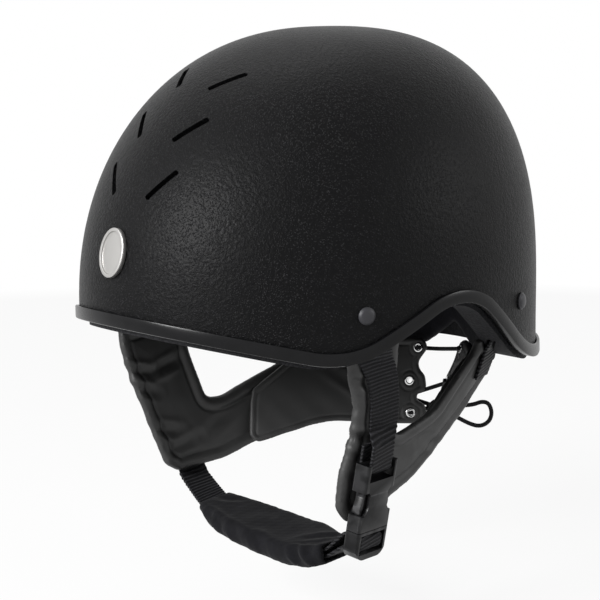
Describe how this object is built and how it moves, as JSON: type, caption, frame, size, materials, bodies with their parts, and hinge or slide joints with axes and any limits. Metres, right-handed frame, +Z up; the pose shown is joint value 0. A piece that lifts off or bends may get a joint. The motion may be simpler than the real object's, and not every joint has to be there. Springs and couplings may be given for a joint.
{
  "type": "jockey skull cap",
  "caption": "Black peakless riding skull cap: hard shell with vent slots, foam liner, leather harness, laced nape flaps and a padded chin strap with a side-release buckle.",
  "frame": {"origin": "centre of the head in plan, at the level of the front rim, where the cap is carried", "axes": "+X to the wearer's left, -Y to the front, +Z up"},
  "size_m": [0.2116, 0.2547, 0.2641],
  "materials": {
    "shell_black": "matte black with a fine sprayed speckle",
    "trim_black": "satin moulded edge trim",
    "badge_pewter": "plain pewter oval with a raised rim",
    "liner_foam": "moulded bead foam",
    "pad_plush": "plush lining",
    "harness_leather": "glossy grained leather look",
    "webbing_black": "ribbed woven webbing",
    "rivet_black": "black domed steel",
    "eyelet_steel": "bright plated steel",
    "lace_black": "round braided cord",
    "buckle_black": "moulded acetal with satin faces",
    "sleeve_fabric": "brushed knitted fabric over foam"
  },
  "bodies": {
    "helmet": {"outer_shell": "shell_black", "edge_trim": "trim_black", "front_badge": "badge_pewter", "impact_liner": "liner_foam", "headband_pad": "pad_plush", "nape_pad": "pad_plush", "crown_pad": "pad_plush", "front_rivet_left": "rivet_black", "rear_rivet_left": "rivet_black", "front_rivet_right": "rivet_black", "rear_rivet_right": "rivet_black", "rivet_washers": "eyelet_steel", "left_harness_pad": "harness_leather", "right_harness_pad": "harness_leather", "left_front_web": "webbing_black", "right_front_web": "webbing_black", "left_rear_web": "webbing_black", "right_rear_web": "webbing_black", "left_nape_flap": "harness_leather", "right_nape_flap": "harness_leather", "left_eyelets": "eyelet_steel", "right_eyelets": "eyelet_steel", "nape_lace": "lace_black", "lace_knot": "lace_black", "bow_loop": "lace_black", "buckle_socket": "buckle_black"},
    "chin_strap": {"buckle_plug": "buckle_black", "plug_web": "webbing_black", "chin_web": "webbing_black", "chin_pad": "sleeve_fabric"},
    "prong_front": {"prong_front": "buckle_black"},
    "prong_rear": {"prong_rear": "buckle_black"}
  },
  "joints": [
    {"name": "buckle_release", "type": "slide", "parent": "helmet", "child": "chin_strap", "axis": [-0.1768, -0.0441, -0.9833], "range_m": [0, 0.024], "deforming": ["prong_front", "prong_rear"]},
    {"name": "prong_front_squeeze", "type": "hinge", "parent": "chin_strap", "child": "prong_front", "pos_m": [0.07964, -0.03664, -0.10581], "axis": [0.954, 0.2379, -0.1822], "range_deg": [0, 10], "stiffness_Nm_per_rad": 0.3},
    {"name": "prong_rear_squeeze", "type": "hinge", "parent": "chin_strap", "child": "prong_rear", "pos_m": [0.07577, -0.02111, -0.10581], "axis": [-0.954, -0.2379, 0.1822], "range_deg": [0, 10], "stiffness_Nm_per_rad": 0.3}
  ]
}
